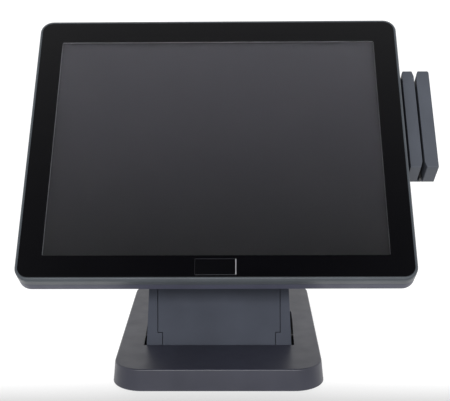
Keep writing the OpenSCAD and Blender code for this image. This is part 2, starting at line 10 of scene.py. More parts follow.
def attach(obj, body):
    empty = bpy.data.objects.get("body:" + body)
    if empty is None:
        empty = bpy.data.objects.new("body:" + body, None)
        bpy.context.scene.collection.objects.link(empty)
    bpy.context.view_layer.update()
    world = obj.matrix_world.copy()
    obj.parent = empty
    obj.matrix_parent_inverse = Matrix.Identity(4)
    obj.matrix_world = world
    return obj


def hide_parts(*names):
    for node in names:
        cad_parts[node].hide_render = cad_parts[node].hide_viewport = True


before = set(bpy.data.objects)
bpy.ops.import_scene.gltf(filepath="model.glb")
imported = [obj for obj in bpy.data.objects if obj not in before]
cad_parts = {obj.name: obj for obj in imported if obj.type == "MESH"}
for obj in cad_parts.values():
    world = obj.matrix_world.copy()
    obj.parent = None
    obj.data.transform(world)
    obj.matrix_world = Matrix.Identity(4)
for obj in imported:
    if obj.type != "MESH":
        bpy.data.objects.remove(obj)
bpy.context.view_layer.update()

MM = 0.001
VIEW_W, VIEW_H = 306, 230      # part of the display that shows, in mm
HEAD_CORNER = 12.5             # corner radius of the head, in mm
UPPER_SHAFT_R = 5              # hinge shaft radii, in mm
LOWER_SHAFT_R = 4
SMOOTH_ANGLE = math.radians(32)
ROUND_ANGLE = math.radians(38)
WELD = 0.004 * MM              # CAD corners closer than this are one corner


# ---------- directions ----------

def vertices_of(node):
    """The corner points of a CAD node, in metres."""
    return np.array([v.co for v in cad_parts[node].data.vertices], float)


def plate_space(node):
    """Matrix of a flat CAD plate: origin at the centre of its front face, x right, y back, z up the face."""
    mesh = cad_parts[node].data
    facing = {}
    for face in mesh.polygons:
        if face.normal.y < -0.2:
            key = tuple(round(c, 3) for c in face.normal)
            facing[key] = facing.get(key, 0) + face.area
    back = -Vector(max(facing, key=facing.get)).normalized()
    right = Vector((1, 0, 0))
    up = right.cross(back).normalized()
    turn = Matrix((right, back, up)).transposed().to_4x4()
    points = vertices_of(node) @ np.array(turn.to_3x3())
    low, high = points.min(0), points.max(0)
    origin = turn @ Vector(((low[0] + high[0]) / 2, low[1], (low[2] + high[2]) / 2))
    return Matrix.Translation(origin) @ turn


def local_box(node, space):
    """Lowest and highest corner of a CAD node in a space, in millimetres."""
    back_to_space = np.array(space.inverted())
    points = vertices_of(node) @ back_to_space[:3, :3].T + back_to_space[:3, 3]
    return Vector(points.min(0)) / MM, Vector(points.max(0)) / MM


WORLD = Matrix.Identity(4)
HEAD = plate_space("touch_glass")
ARM = plate_space("arm_front_cover")


# ---------- materials ----------

def new_material(name):
    """An empty node material; returns it with its tree and its shader."""
    material = bpy.data.materials.new(name)
    material.use_nodes = True
    nodes = material.node_tree.nodes
    nodes.clear()
    output = nodes.new("ShaderNodeOutputMaterial")
    shader = nodes.new("ShaderNodeBsdfPrincipled")
    material.node_tree.links.new(shader.outputs["BSDF"], output.inputs["Surface"])
    return material, material.node_tree, shader


def noise(tree, scale, detail, stretch=(1, 1, 1)):
    """Noise in object space, with scale in features per metre; returns its value socket."""
    place = tree.nodes.new("ShaderNodeTexCoord")
    size = tree.nodes.new("ShaderNodeMapping")
    size.inputs["Scale"].default_value = stretch
    texture = tree.nodes.new("ShaderNodeTexNoise")
    texture.inputs["Scale"].default_value = scale
    texture.inputs["Detail"].default_value = detail
    tree.links.new(place.outputs["Object"], size.inputs["Vector"])
    tree.links.new(size.outputs["Vector"], texture.inputs["Vector"])
    return texture.outputs["Fac"]


def ramp(tree, value, low, high):
    """Mixes two colours by a value."""
    mix = tree.nodes.new("ShaderNodeMix")
    mix.data_type = "RGBA"
    mix.inputs["A"].default_value = (*low, 1)
    mix.inputs["B"].default_value = (*high, 1)
    tree.links.new(value, mix.inputs["Factor"])
    return mix.outputs["Result"]


def spread(tree, value, from_low, from_high, to_low, to_high):
    """Maps a value from one range to another."""
    change = tree.nodes.new("ShaderNodeMapRange")
    change.inputs["From Min"].default_value = from_low
    change.inputs["From Max"].default_value = from_high
    change.inputs["To Min"].default_value = to_low
    change.inputs["To Max"].default_value = to_high
    tree.links.new(value, change.inputs["Value"])
    return change.outputs["Result"]


def bump(tree, shader, value, strength, distance):
    """Fine relief from a value, on the shader's normal."""
    node = tree.nodes.new("ShaderNodeBump")
    node.inputs["Strength"].default_value = strength
    node.inputs["Distance"].default_value = distance
    tree.links.new(value, node.inputs["Height"])
    tree.links.new(node.outputs["Normal"], shader.inputs["Normal"])


def shade(colour, factor):
    """A colour made darker or lighter."""
    return tuple(min(1.0, c * factor) for c in colour)


def moulded(name, colour, roughness=0.42, grain=2600, depth=0.00003, shine=0.4):
    """Spark-eroded moulded plastic: fine grain, faint cloudy colour and uneven sheen."""
    material, tree, shader = new_material(name)
    cloud = spread(tree, noise(tree, 22, 4), 0.3, 0.7, 0, 1)
    tree.links.new(ramp(tree, cloud, shade(colour, 0.88), shade(colour, 1.12)), shader.inputs["Base Color"])
    rough = spread(tree, noise(tree, 60, 5), 0.3, 0.7, roughness - 0.05, roughness + 0.05)
    tree.links.new(rough, shader.inputs["Roughness"])
    bump(tree, shader, noise(tree, grain, 2), 0.35, depth)
    shader.inputs["Specular IOR Level"].default_value = shine
    return material


def metal(name, colour, roughness=0.3, stretch=(1, 1, 1), grain=900, metallic=1.0):
    """Bare or plated metal with fine rolling marks and dull patches."""
    material, tree, shader = new_material(name)
    shader.inputs["Metallic"].default_value = metallic
    streak = noise(tree, grain, 4, stretch)
    tree.links.new(ramp(tree, streak, shade(colour, 0.8), shade(colour, 1.12)), shader.inputs["Base Color"])
    rough = spread(tree, noise(tree, 120, 5), 0.3, 0.7, roughness - 0.08, roughness + 0.1)
    tree.links.new(rough, shader.inputs["Roughness"])
    bump(tree, shader, streak, 0.2, 0.00002)
    return material


def polished(name, colour, roughness=0.06):
    """Smooth glossy surface with faint dust and wipe marks in its sheen."""
    material, tree, shader = new_material(name)
    smear = noise(tree, 30, 5, (1, 1, 3))
    tree.links.new(ramp(tree, smear, shade(colour, 0.85), shade(colour, 1.15)), shader.inputs["Base Color"])
    rough = spread(tree, smear, 0.35, 0.75, roughness, roughness + 0.05)
    tree.links.new(rough, shader.inputs["Roughness"])
    return material


def screen_material(name):
    """Unlit display behind glass: satin dark grey, made a little paler towards the top edge by a painted
    reflection of the surroundings.
    """
    material, tree, shader = new_material(name)
    place = tree.nodes.new("ShaderNodeTexCoord")
    split = tree.nodes.new("ShaderNodeSeparateXYZ")
    tree.links.new(place.outputs["Object"], split.inputs["Vector"])
    top = HEAD @ Vector((0, 0, VIEW_H / 2 * MM))
    bottom = HEAD @ Vector((0, 0, -VIEW_H / 2 * MM))
    # painted reflection: the base colour rises from dark at the bottom of the view to paler at the top
    rise = spread(tree, split.outputs["Z"], bottom.z, top.z, 0, 1)
    painted_reflection = ramp(tree, rise, (0.012, 0.012, 0.014), (0.064, 0.062, 0.076))
    tree.links.new(painted_reflection, shader.inputs["Base Color"])
    rough = spread(tree, noise(tree, 40, 4), 0.3, 0.7, 0.36, 0.42)
    tree.links.new(rough, shader.inputs["Roughness"])
    bump(tree, shader, noise(tree, 1800, 1), 0.02, 0.000001)
    shader.inputs["Specular IOR Level"].default_value = 0.32
    return material


def pane_material(name):
    """Clear cover glass."""
    material, tree, shader = new_material(name)
    shader.inputs["Transmission Weight"].default_value = 1.0
    shader.inputs["IOR"].default_value = 1.5
    smear = noise(tree, 24, 4)
    tree.links.new(ramp(tree, smear, (0.93, 0.94, 0.95), (1, 1, 1)), shader.inputs["Base Color"])
    rough = spread(tree, smear, 0.3, 0.7, 0.0, 0.02)
    tree.links.new(rough, shader.inputs["Roughness"])
    return material


M = {
    "head": moulded("head_plastic", (0.045, 0.047, 0.072), shine=0.25),
    "rim": moulded("rim_plastic", (0.043, 0.050, 0.058), roughness=0.36, shine=0.32),
    "arm": moulded("arm_plastic", (0.046, 0.051, 0.066), roughness=0.5, shine=0.04),
    "base": moulded("base_plastic", (0.024, 0.025, 0.037), roughness=0.38, shine=0.42),
    "reader": moulded("reader_plastic", (0.052, 0.058, 0.072), roughness=0.55, shine=0.3),
    "black": moulded("black_plastic", (0.012, 0.012, 0.013), roughness=0.45),
    "rubber": moulded("black_rubber", (0.010, 0.010, 0.010), roughness=0.75, grain=1200, depth=0.00006),
    "powder": moulded("powder_coat", (0.020, 0.021, 0.023), roughness=0.5, grain=1500, depth=0.00005),
    "glass": polished("mask_glass", (0.0010, 0.0010, 0.0016), roughness=0.05),
    "badge": polished("badge_gloss", (0.0014, 0.0014, 0.0020), roughness=0.06),
    "badge_edge": metal("badge_edge_metal", (0.022, 0.022, 0.026), roughness=0.45),
    # bright metal for the badge strip: a painted highlight on the frame's right edge
    "badge_glint_strip": metal("badge_glint_metal", (0.66, 0.66, 0.70), roughness=0.45),
    "bezel": metal("lcd_bezel_metal", (0.62, 0.62, 0.66), roughness=0.4),
    "screen": screen_material("lcd_surface"),
    "pane": pane_material("cover_pane"),
    "zinc": metal("zinc_plate", (0.56, 0.57, 0.58), roughness=0.32),
    "steel": metal("turned_steel", (0.6, 0.6, 0.61), roughness=0.25, stretch=(8, 1, 1)),
    "brass": metal("spring_brass", (0.62, 0.47, 0.22), roughness=0.35),
    "iron": metal("cast_iron", (0.06, 0.06, 0.062), roughness=0.7, grain=400, metallic=0.6),
    "alloy": metal("extruded_alloy", (0.68, 0.69, 0.71), roughness=0.3, stretch=(1, 6, 6)),
    "board": polished("solder_mask", (0.012, 0.075, 0.028), roughness=0.3),
    "chip": moulded("chip_mould", (0.018, 0.018, 0.018), roughness=0.55),
    "contact": metal("nickel_shell", (0.6, 0.59, 0.57), roughness=0.22),
    "core": moulded("port_core", (0.010, 0.010, 0.011), roughness=0.5),
    "gold": metal("gold_contact", (0.80, 0.58, 0.26), roughness=0.24),
}


# ---------- pieces ----------

def finish_piece(obj, material, body, nodes=()):
    """Gives a new piece its material, its body and the CAD nodes that it stands for."""
    obj.data.materials.clear()
    obj.data.materials.append(M[material])
    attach(obj, body)
    if nodes:
        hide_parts(*nodes)
    return obj


def mesh_object(name, mesh):
    """Adds a mesh to the scene."""
    obj = bpy.data.objects.new(name, mesh)
    bpy.context.scene.collection.objects.link(obj)
    return obj


def smooth_by_angle(mesh):
    """Smooth faces, with edges above SMOOTH_ANGLE kept crisp."""
    for face in mesh.polygons:
        face.use_smooth = True
    mesh.set_sharp_from_angle(angle=SMOOTH_ANGLE)


def fix_modifiers(obj):
    """Writes the result of an object's modifiers into its mesh."""
    graph = bpy.context.evaluated_depsgraph_get()
    result = bpy.data.meshes.new_from_object(obj.evaluated_get(graph))
    obj.modifiers.clear()
    obj.data = result


def soften(obj, width):
    """Rounds the sharp edges of a mesh by width, in millimetres, and fixes the result in the mesh."""
    bevel = obj.modifiers.new("round", "BEVEL")
    bevel.width = width * MM
    bevel.segments = 2
    bevel.limit_method = "ANGLE"
    bevel.angle_limit = ROUND_ANGLE
    bevel.use_clamp_overlap = True
    fix_modifiers(obj)
    smooth_by_angle(obj.data)
    level = obj.modifiers.new("flat_faces", "WEIGHTED_NORMAL")
    level.keep_sharp = True
    fix_modifiers(obj)
    return obj


def softened_copy(node, width):
    """A new mesh with the shape of a CAD node, its flat faces joined up and its edges rounded."""
    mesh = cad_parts[node].data.copy()
    work = bmesh.new()
    work.from_mesh(mesh)
    bmesh.ops.remove_doubles(work, verts=work.verts, dist=WELD)
    bmesh.ops.dissolve_limit(work, angle_limit=math.radians(0.6), verts=work.verts, edges=work.edges)
    bmesh.ops.dissolve_degenerate(work, dist=WELD / 2, edges=work.edges)
    work.to_mesh(mesh)
    work.free()
    return soften(mesh_object(node + "_soft", mesh), width)


def object_from(name, work, space):
    """Makes an object from a bmesh in millimetres of a space, and frees the bmesh."""
    bmesh.ops.remove_doubles(work, verts=work.verts, dist=0.001)
    bmesh.ops.recalc_face_normals(work, faces=work.faces)
    bmesh.ops.transform(work, matrix=space @ Matrix.Scale(MM, 4), verts=work.verts)
    mesh = bpy.data.meshes.new(name)
    work.to_mesh(mesh)
    work.free()
    smooth_by_angle(mesh)
    return mesh_object(name, mesh)


def solid_from(name, faces_of, space):
    """Makes an object from a function that fills a bmesh in millimetres of a space."""
    work = bmesh.new()
    faces_of(work)
    return object_from(name, work, space)


def rounded_loop(w, h, r, steps=8):
    """Points (x, y) round a rectangle with rounded corners, starting at the right side."""
    r = max(0.05, min(r, w / 2, h / 2))
    points = []
    for corner in range(4):
        cx = (w / 2 - r) * (1 if corner in (0, 3) else -1)
        cy = (h / 2 - r) * (1 if corner in (0, 1) else -1)
        for step in range(steps + 1):
            a = math.radians(90 * corner + 90 * step / steps)
            points.append((cx + r * math.cos(a), cy + r * math.sin(a)))
    return points


def loft(work, rings, closed=False):
    """Joins rings of equal length with quads, closed on themselves or capped at both ends."""
    made = [[work.verts.new(p) for p in ring] for ring in rings]
    pairs = list(zip(made, made[1:] + made[:1])) if closed else list(zip(made, made[1:]))
    for low, high in pairs:
        for i in range(len(low)):
            j = (i + 1) % len(low)
            work.faces.new((low[i], low[j], high[j], high[i]))
    if not closed:
        work.faces.new(made[0][::-1])
        work.faces.new(made[-1])


def plate_rings(w, h, r, profile, centre=(0, 0)):
    """Rings of a rounded plate that faces -y: profile lists (inset, depth)."""
    rings = []
    for inset, depth in profile:
        loop = rounded_loop(w - 2 * inset, h - 2 * inset, r - inset)
        rings.append([(centre[0] + x, depth, centre[1] + z) for x, z in loop])
    return rings


def box(work, low, high, place):
    """A box between two corners."""
    made = bmesh.ops.create_cube(work, size=1)
    size = Vector(high) - Vector(low)
    centre = (Vector(high) + Vector(low)) / 2
    matrix = place @ Matrix.Translation(centre) @ Matrix.Diagonal((*size, 1))
    bmesh.ops.transform(work, matrix=matrix, verts=made["verts"])


def loose_boxes(node, space):
    """Boxes (low, high) of the separate solids in a CAD node, in mm of a space, from left to right."""
    work = bmesh.new()
    work.from_mesh(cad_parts[node].data)
    bmesh.ops.remove_doubles(work, verts=work.verts, dist=WELD)
    inverse = space.inverted()
    unseen = set(work.verts)
    boxes = []
    while unseen:
        reached = [unseen.pop()]
        points = []
        while reached:
            vertex = reached.pop()
            points.append(inverse @ vertex.co / MM)
            for edge in vertex.link_edges:
                other = edge.other_vert(vertex)
                if other in unseen:
                    unseen.remove(other)
                    reached.append(other)
        low = Vector(min(p[i] for p in points) for i in range(3))
        high = Vector(max(p[i] for p in points) for i in range(3))
        boxes.append((low, high))
    work.free()
    return sorted(boxes, key=lambda b: (round(b[0].x, 1), round(b[0].z, 1), round(b[0].y, 1)))


def axis_place(centre, along, sign):
    """Matrix whose z axis runs along axis number 'along' of the space, in the given direction."""
    direction = Vector([sign if i == along else 0 for i in range(3)])
    return Matrix.Translation(centre) @ direction.to_track_quat("Z", "Y").to_matrix().to_4x4()


def loft_heights(work, rings, place, closed=False, sides=48):
    """Joins rings given as (radius function of the angle, height)."""
    made = []
    for radius_at, height in rings:
        ring = []
        for i in range(sides):
            a = 2 * math.pi * i / sides
            r = radius_at(a)
            ring.append(place @ Vector((r * math.cos(a), r * math.sin(a), height)))
        made.append(ring)
    loft(work, made, closed)


def circle(radius):
    """Outline of a circle, as a radius function of the angle."""
    return lambda a: radius


def cross(arm, half_w):
    """Outline of a cross recess with arms of a given length and half width."""
    def radius_at(a):
        c, s = max(abs(math.cos(a)), 1e-6), max(abs(math.sin(a)), 1e-6)
        return max(min(arm / c, half_w / s), min(arm / s, half_w / c))
    return radius_at


def hexagon(inner, limit):
    """Outline of a hexagon of a given inner radius, cut back to a circle."""
    def radius_at(a):
        turn = (a + math.radians(30)) % math.radians(60) - math.radians(30)
        return min(inner / math.cos(turn), limit)
    return radius_at


def screw(work, place, length, head_r, head_t, shank_r):
    """Pan head screw with a cross recess and thread grooves; its top is at height 0, its shank runs down."""
    arm, half_w, deep = head_r * 0.58, head_r * 0.17, head_t * 0.62
    rings = [(cross(arm * 0.45, half_w * 0.5), -deep), (cross(arm * 0.85, half_w * 0.8), -deep * 0.35),
             (cross(arm, half_w), 0), (circle(head_r * 0.74), 0), (circle(head_r * 0.92), -head_t * 0.14),
             (circle(head_r), -head_t * 0.42), (circle(head_r), -head_t + 0.08),
             (circle(head_r - 0.08), -head_t)]
    pitch, tip = max(0.7, shank_r * 0.55), 0.8
    root_r = shank_r * 0.82
    level = -head_t
    while level - pitch > -length + tip:
        rings += [(circle(root_r), level - 0.02), (circle(shank_r), level - pitch * 0.5)]
        level -= pitch
    rings += [(circle(root_r), level - 0.02), (circle(shank_r * 0.8), -length + 0.35),
              (circle(shank_r * 0.55), -length)]
    loft_heights(work, rings, place)


def screw_set(node, space, along, sign, sizes, body):
    """Detailed screws for a CAD node; sizes are head radius, head thickness and shank radius."""
    def faces(work):
        for low, high in loose_boxes(node, space):
            top = (low + high) / 2
            top[along] = (high if sign > 0 else low)[along]
            screw(work, axis_place(top, along, sign), high[along] - low[along], *sizes)
    finish_piece(solid_from(node + "_crosshead", faces, space), "zinc", body, [node])


# ---------- camera, stage and light ----------

def make_camera():
    """The camera stands in front of the object and looks down at it a little."""
    place = Vector((0.02075, -0.97745, 0.3895))
    data = bpy.data.cameras.new("camera")
    data.lens = 77.66
    data.sensor_width = 36
    camera = bpy.data.objects.new("camera", data)
    bpy.context.scene.collection.objects.link(camera)
    pitch, yaw, roll = math.radians(13.52), math.radians(-0.865), math.radians(-0.382)
    forward = Vector((math.sin(yaw) * math.cos(pitch), math.cos(yaw) * math.cos(pitch), -math.sin(pitch)))
    right = forward.cross(Vector((0, 0, 1))).normalized()
    up = right.cross(forward)
    turned_right = right * math.cos(roll) + up * math.sin(roll)
    turned_up = up * math.cos(roll) - right * math.sin(roll)
    axes = Matrix((turned_right, turned_up, -forward)).transposed().to_4x4()
    camera.matrix_world = Matrix.Translation(place) @ axes
    bpy.context.scene.camera = camera


def make_floor():
    """A white floor that glows a little, like a lit table, with a painted soft shadow: a grey pool in front
    of the object.
    """
    mesh = bpy.data.meshes.new("floor")
    size = 14
    below = -0.05 * MM
    # painted shadow: colour and glow of the floor turn grey in a pool in front of the object, white beyond
    # these edges
    shadow_pool_back, shadow_pool_front, shadow_pool_side = (-0.155, -0.095), (-0.32, -0.62), (0.36, 0.66)
    corners = [(-size, -size, below), (size, -size, below), (size, size, below), (-size, size, below)]
    mesh.from_pydata(corners, [], [(0, 1, 2, 3)])
    floor = mesh_object("floor", mesh)
    material, tree, shader = new_material("floor_paint")
    place = tree.nodes.new("ShaderNodeTexCoord")
    split = tree.nodes.new("ShaderNodeSeparateXYZ")
    tree.links.new(place.outputs["Object"], split.inputs["Vector"])
    white = spread(tree, split.outputs["Y"], *shadow_pool_back, 0, 1)
    mirrored = tree.nodes.new("ShaderNodeMath")
    mirrored.operation = "ABSOLUTE"
    tree.links.new(split.outputs["X"], mirrored.inputs[0])
    for value, edge in ((split.outputs["Y"], shadow_pool_front), (mirrored.outputs[0], shadow_pool_side)):
        either = tree.nodes.new("ShaderNodeMath")
        either.operation = "MAXIMUM"
        tree.links.new(white, either.inputs[0])
        tree.links.new(spread(tree, value, *edge, 0, 1), either.inputs[1])
        white = either.outputs[0]
    tree.links.new(ramp(tree, white, (0.18, 0.18, 0.18), (0.34, 0.34, 0.34)), shader.inputs["Base Color"])
    tree.links.new(ramp(tree, white, (0.52, 0.52, 0.52), (0.80, 0.80, 0.80)), shader.inputs["Emission Color"])
    shader.inputs["Emission Strength"].default_value = 1.0
    shader.inputs["Roughness"].default_value = 0.8
    shader.inputs["Specular IOR Level"].default_value = 0.1
    mesh.materials.append(material)


def make_world():
    """A white studio with one dark patch of ceiling, high in front of the object, which its glass mirrors."""
    world = bpy.data.worlds.new("studio")
    bpy.context.scene.world = world
    world.use_nodes = True
    tree = world.node_tree

    def math_node(kind, *values):
        node = tree.nodes.new("ShaderNodeMath")
        node.operation = kind
        for socket, value in zip(node.inputs, values):
            if isinstance(value, (int, float)):
                socket.default_value = value
            else:
                tree.links.new(value, socket)
        return node.outputs[0]

    place = tree.nodes.new("ShaderNodeTexCoord")
    split = tree.nodes.new("ShaderNodeSeparateXYZ")
    tree.links.new(place.outputs["Generated"], split.inputs["Vector"])
    behind = spread(tree, split.outputs["Y"], -0.46, 0.0, 0, 1)
    in_front = spread(tree, split.outputs["Y"], -0.50, -0.72, 0, 1)
    beside = math_node("MULTIPLY", split.outputs["X"], 1.1)
    total = math_node("MULTIPLY", math_node("POWER", behind, 2.0), 0.8)
    total = math_node("ADD", total, math_node("POWER", in_front, 2.0))
    total = math_node("ADD", total, math_node("POWER", beside, 2.0))
    level = spread(tree, total, 0, 1, 0.035, 1.08)
    tree.links.new(level, tree.nodes["Background"].inputs["Strength"])
    tree.nodes["Background"].inputs["Color"].default_value = (1, 1, 1, 1)


def make_lamp(name, place, target, size, power):
    """A rectangular softbox aimed at a point."""
    data = bpy.data.lights.new(name, "AREA")
    data.shape = "RECTANGLE"
    data.size, data.size_y = size
    data.energy = power
    lamp = bpy.data.objects.new(name, data)
    bpy.context.scene.collection.objects.link(lamp)
    aim = (Vector(target) - Vector(place)).to_track_quat("-Z", "Y")
    lamp.matrix_world = Matrix.Translation(place) @ aim.to_matrix().to_4x4()


make_camera()
make_floor()
make_world()
make_lamp("front_softbox", (0, -2.2, 0.98), (0, -0.1, 0.07), (2.0, 0.24), 42)
bpy.context.scene.view_settings.view_transform = "Standard"


# ---------- head front ----------

def head_front():
    """Frame, masked glass with a clear window, and the display behind it."""
    low, high = local_box("front_frame", HEAD)
    w, h, depth = high.x - low.x, high.z - low.z, high.y
    glass_low, glass_high = local_box("touch_glass", HEAD)
    glass_w, glass_h, glass_back = glass_high.x - glass_low.x, glass_high.z - glass_low.z, glass_high.y
    rim = (w - glass_w) / 2
    lcd_low, lcd_high = local_box("lcd_panel", HEAD)
    mid = (0, (lcd_low.z + lcd_high.z) / 2)
    view_corner = 1.4

    def frame_faces(work):
        ledge, wall = 10.5, 2.5
        profile = [(0, depth - 0.5), (0, 4.1), (0.25, 3.9), (0.25, 3.5), (0, 3.3), (0, 1.65), (0.3, 1.0),
                   (0.75, 0.45), (1.3, 0.08), (1.6, 0), (rim - 0.2, 0), (rim - 0.02, 0.15),
                   (rim - 0.02, glass_back), (ledge, glass_back), (ledge, glass_back + 2),
                   (wall, glass_back + 2), (wall, depth), (0.5, depth)]
        loft(work, plate_rings(w, h, HEAD_CORNER, profile), closed=True)
    body = solid_from("front_frame_body", frame_faces, HEAD)
    finish_piece(body, "rim", "head", ["front_frame"])

    def mask_faces(work):
        outer = [(0, glass_back - 0.1), (0, 1), (0, 0.25), (0.25, 0), (0.6, 0)]
        inner = [(0, 0), (0, 1.0), (-1.5, 1.0), (-1.5, glass_back - 0.1)]
        rings = plate_rings(glass_w, glass_h, HEAD_CORNER - rim, outer)
        for inset, deep in inner:
            loop = rounded_loop(VIEW_W - 2 * inset, VIEW_H - 2 * inset, view_corner)
            rings.append([(x, deep, z + mid[1]) for x, z in loop])
        loft(work, rings, closed=True)
    mask = solid_from("touch_glass_mask", mask_faces, HEAD)
    finish_piece(mask, "glass", "head", ["touch_glass"])

    def pane_faces(work):
        loft(work, plate_rings(VIEW_W, VIEW_H, view_corner, [(0.01, 0.95), (0.01, 0)], mid))
    finish_piece(solid_from("touch_glass_window", pane_faces, HEAD), "pane", "head")

    def bezel_faces(work):
        profile = [(0, lcd_high.y - 1), (0, glass_back + 0.1), (9.2, glass_back + 0.1),
                   (9.9, glass_back + 0.4), (9.9, glass_back + 1.2), (6, glass_back + 1.2),
                   (6, lcd_high.y - 1)]
        size = lcd_high - lcd_low
        loft(work, plate_rings(size.x, size.z, 2, profile, mid), closed=True)
    finish_piece(solid_from("lcd_bezel", bezel_faces, HEAD), "bezel", "head", ["lcd_panel"])

    def surface_faces(work):
        margin = 12
        profile = [(0, glass_back + 2.6), (0, glass_back + 1.3)]
        loft(work, plate_rings(VIEW_W + margin, VIEW_H + margin, 1, profile, mid))
    finish_piece(solid_from("lcd_surface_sheet", surface_faces, HEAD), "screen", "head")


head_front()


def badge():
    """Blank gloss plate in a thin dark frame, with a bright strip at its right end: a painted highlight, the
    glint on the frame's right edge.
    """
    low, high = local_box("badge_plate", HEAD)
    w, h, mid = high.x - low.x, high.z - low.z, (high.z + low.z) / 2
    edge = 0.55

    def plate_faces(work):
        profile = [(edge, high.y - 0.02), (edge, low.y + 0.22), (edge + 0.12, low.y + 0.1)]
        loft(work, plate_rings(w, h, 1, profile, (0, mid)))
    finish_piece(solid_from("badge_face", plate_faces, HEAD), "badge", "head", ["badge_plate"])

    def frame_faces(work):
        profile = [(0, high.y - 0.01), (0, low.y + 0.3), (0.18, low.y + 0.04), (0.3, low.y),
                   (edge - 0.08, low.y + 0.1), (edge - 0.02, low.y + 0.25), (edge - 0.02, high.y - 0.01)]
        loft(work, plate_rings(w, h, 1, profile, (0, mid)), closed=True)
    finish_piece(solid_from("badge_frame", frame_faces, HEAD), "badge_edge", "head")

    def glint_strip_faces(work):
        # painted highlight: a bright metal strip along the frame's right edge stands in for its glint
        profile = [(0, low.y + 0.25), (0, low.y + 0.12), (0.15, low.y + 0.01)]
        strip_w, strip_x = 0.6, high.x - edge - 0.36
        loft(work, plate_rings(strip_w, h - 2 * edge, 0.2, profile, (strip_x, mid)))
    finish_piece(solid_from("badge_glint_strip", glint_strip_faces, HEAD), "badge_glint_strip", "head")


badge()


# ---------- fasteners and hinge hardware ----------

# node, space, axis number, direction, (head radius, head thickness, shank radius), body
screw_set("base_screws", WORLD, 2, -1, (3, 1.38, 1.6), "base")
screw_set("arm_screws", ARM, 1, 1, (3, 1, 1.6), "arm")
screw_set("chassis_screws", HEAD, 1, 1, (2.8, 1.4, 1.28), "head")
screw_set("cover_screws", HEAD, 1, 1, (3, 1, 1.6), "head")
screw_set("bracket_screws", HEAD, 1, 1, (3.8, 2.4, 2), "head")


def reader_screws():
    """Two screws run back into the head and two run sideways into the reader."""
    sizes = (3, 1.8, 1.28)

    def faces(work):
        for low, high in loose_boxes("reader_screws", HEAD):
            middle = (low + high) / 2
            if high.y - low.y > high.z - low.z + 0.4:
                place = axis_place((middle.x, high.y, middle.z), 1, 1)
                screw(work, place, high.y - low.y, *sizes)
            else:
                place = axis_place((low.x, middle.y, middle.z), 0, -1)
                screw(work, place, high.x - low.x, *sizes)
    screws = solid_from("reader_screws_crosshead", faces, HEAD)
    finish_piece(screws, "zinc", "head", ["reader_screws"])


reader_screws()


def side_pieces(node, space, name, material, body, rings_of):
    """Round or hexagonal pieces on a hinge axis; rings_of(length, outer radius) gives their closed rings."""
    def faces(work):
        for low, high in loose_boxes(node, space):
            middle = (low + high) / 2
            outward = 1 if middle.x > 0 else -1
            place = axis_place((low.x if outward > 0 else high.x, middle.y, middle.z), 0, outward)
            loft_heights(work, rings_of(high.x - low.x, (high.z - low.z) / 2), place, closed=True)
    finish_piece(solid_from(name, faces, space), material, body, [node])


def nut_rings(bore):
    """Hexagon nut, chamfered on both faces, with a countersunk bore."""
    def rings_of(length, corner_r):
        inner = corner_r * math.cos(math.radians(30))
        steps = [(0, inner * 0.98), (length * 0.08, corner_r * 0.955), (length * 0.16, corner_r)]
        outer = [(hexagon(inner, limit), height) for height, limit in steps]
        outer += [(hexagon(inner, limit), length - height) for height, limit in steps[::-1]]
        return outer + [(circle(bore + 0.6), length), (circle(bore + 0.02), length - 0.6),
                        (circle(bore + 0.02), 0.6), (circle(bore + 0.6), 0)]
    return rings_of


def washer_rings(bore):
    """Flat washer with one face rounded, as a punch leaves it."""
    def rings_of(length, outer_r):
        return [(circle(outer_r - 0.1), 0), (circle(outer_r), 0.1), (circle(outer_r), length - 0.35),
                (circle(outer_r - 0.1), length - 0.12), (circle(outer_r - 0.35), length),
                (circle(bore + 0.15), length), (circle(bore + 0.02), length - 0.15), (circle(bore + 0.02), 0)]
    return rings_of


def hinge_hardware(level, space, body, bore):
    """Nuts and washers at both ends of one hinge."""
    nuts, washers = level + "_nuts", level + "_washers"
    side_pieces(nuts, space, level + "_hex_nuts", "zinc", body, nut_rings(bore))
    side_pieces(washers, space, level + "_ring_washers", "brass", body, washer_rings(bore))


hinge_hardware("upper", HEAD, "head", UPPER_SHAFT_R)
hinge_hardware("lower", WORLD, "base", LOWER_SHAFT_R)


def thread_rings(radius, start, end, pitch=1.0):
    """Grooves of a thread between two heights."""
    rings = []
    level = start
    while level + pitch < end:
        rings += [(circle(radius), level), (circle(radius * 0.9), level + pitch / 2)]
        level += pitch
    return rings


